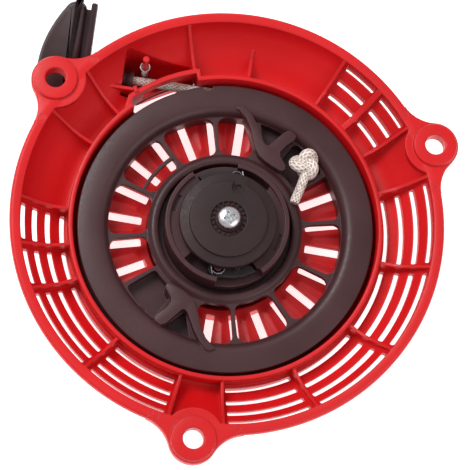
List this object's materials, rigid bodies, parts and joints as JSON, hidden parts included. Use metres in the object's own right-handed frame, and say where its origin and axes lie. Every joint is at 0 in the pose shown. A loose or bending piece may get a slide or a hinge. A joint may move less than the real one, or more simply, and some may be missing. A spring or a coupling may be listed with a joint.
{
  "type": "recoil starter",
  "caption": "Recoil pull starter: vented round case with bolt ears, spring-loaded rope reel, ratchet hub with pawls, and a T-grip on a cord.",
  "frame": {"origin": "on the reel's axis, at the flat outer face of the case's centre cap", "axes": "+Z along the reel's axis towards the engine side, +Y towards the rope outlet side, +X to the right seen from the engine side"},
  "size_m": [0.1913, 0.2065, 0.0471],
  "materials": {
    "case_red": "satin injection-moulded red plastic",
    "reel_black": "moulded black plastic with a soft sheen",
    "guide_black": "moulded black plastic",
    "pawl_grey": "filled dark plastic",
    "grip_black": "semi-matt moulded black plastic",
    "steel_tube": "bright drawn steel tube",
    "zinc_screw": "zinc-plated steel",
    "spring_steel": "blued spring steel",
    "rope": "braided cord, off-white with dark flecks"
  },
  "bodies": {
    "case": {"case_shell": "case_red", "rope_guide_bush": "reel_black", "guide_sleeve": "steel_tube", "setting_screw": "zinc_screw", "recoil_spring": "spring_steel", "rope_run": "rope"},
    "reel": {"reel": "reel_black", "rope_winding": "rope", "rope_knot": "rope", "rope_tail": "rope", "pawl_spring_a": "spring_steel", "pawl_spring_b": "spring_steel"},
    "ratchet_guide": {"ratchet_guide": "guide_black", "friction_spring": "spring_steel"},
    "pawl_a": {"pawl_a": "pawl_grey"},
    "pawl_b": {"pawl_b": "pawl_grey"},
    "handle": {"grip": "grip_black", "grip_knot": "rope"}
  },
  "joints": [
    {"name": "reel_spin", "type": "hinge", "parent": "case", "child": "reel", "pos_m": [0, 0, 0], "axis": [0, 0, 1], "range_deg": [0, 1440]},
    {"name": "handle_pull", "type": "slide", "parent": "case", "child": "handle", "axis": [-0.9903, 0.1392, 0], "range_m": [0, 1.44]},
    {"name": "guide_turn", "type": "hinge", "parent": "reel", "child": "ratchet_guide", "pos_m": [0, 0, 0.04], "axis": [0, 0, 1], "range_deg": [-25, 0]},
    {"name": "pawl_a_swing", "type": "hinge", "parent": "reel", "child": "pawl_a", "pos_m": [0.00416, 0.01956, 0.033], "axis": [0, 0, 1], "range_deg": [-20, 0]},
    {"name": "pawl_b_swing", "type": "hinge", "parent": "reel", "child": "pawl_b", "pos_m": [-0.00416, -0.01956, 0.033], "axis": [0, 0, 1], "range_deg": [-20, 0]}
  ],
  "couplings": [
    {"joint": "handle_pull", "follows": "reel_spin", "m_per_rad": 0.057},
    {"joint": "pawl_a_swing", "follows": "guide_turn", "ratio": 0.8},
    {"joint": "pawl_b_swing", "follows": "guide_turn", "ratio": 0.8}
  ]
}
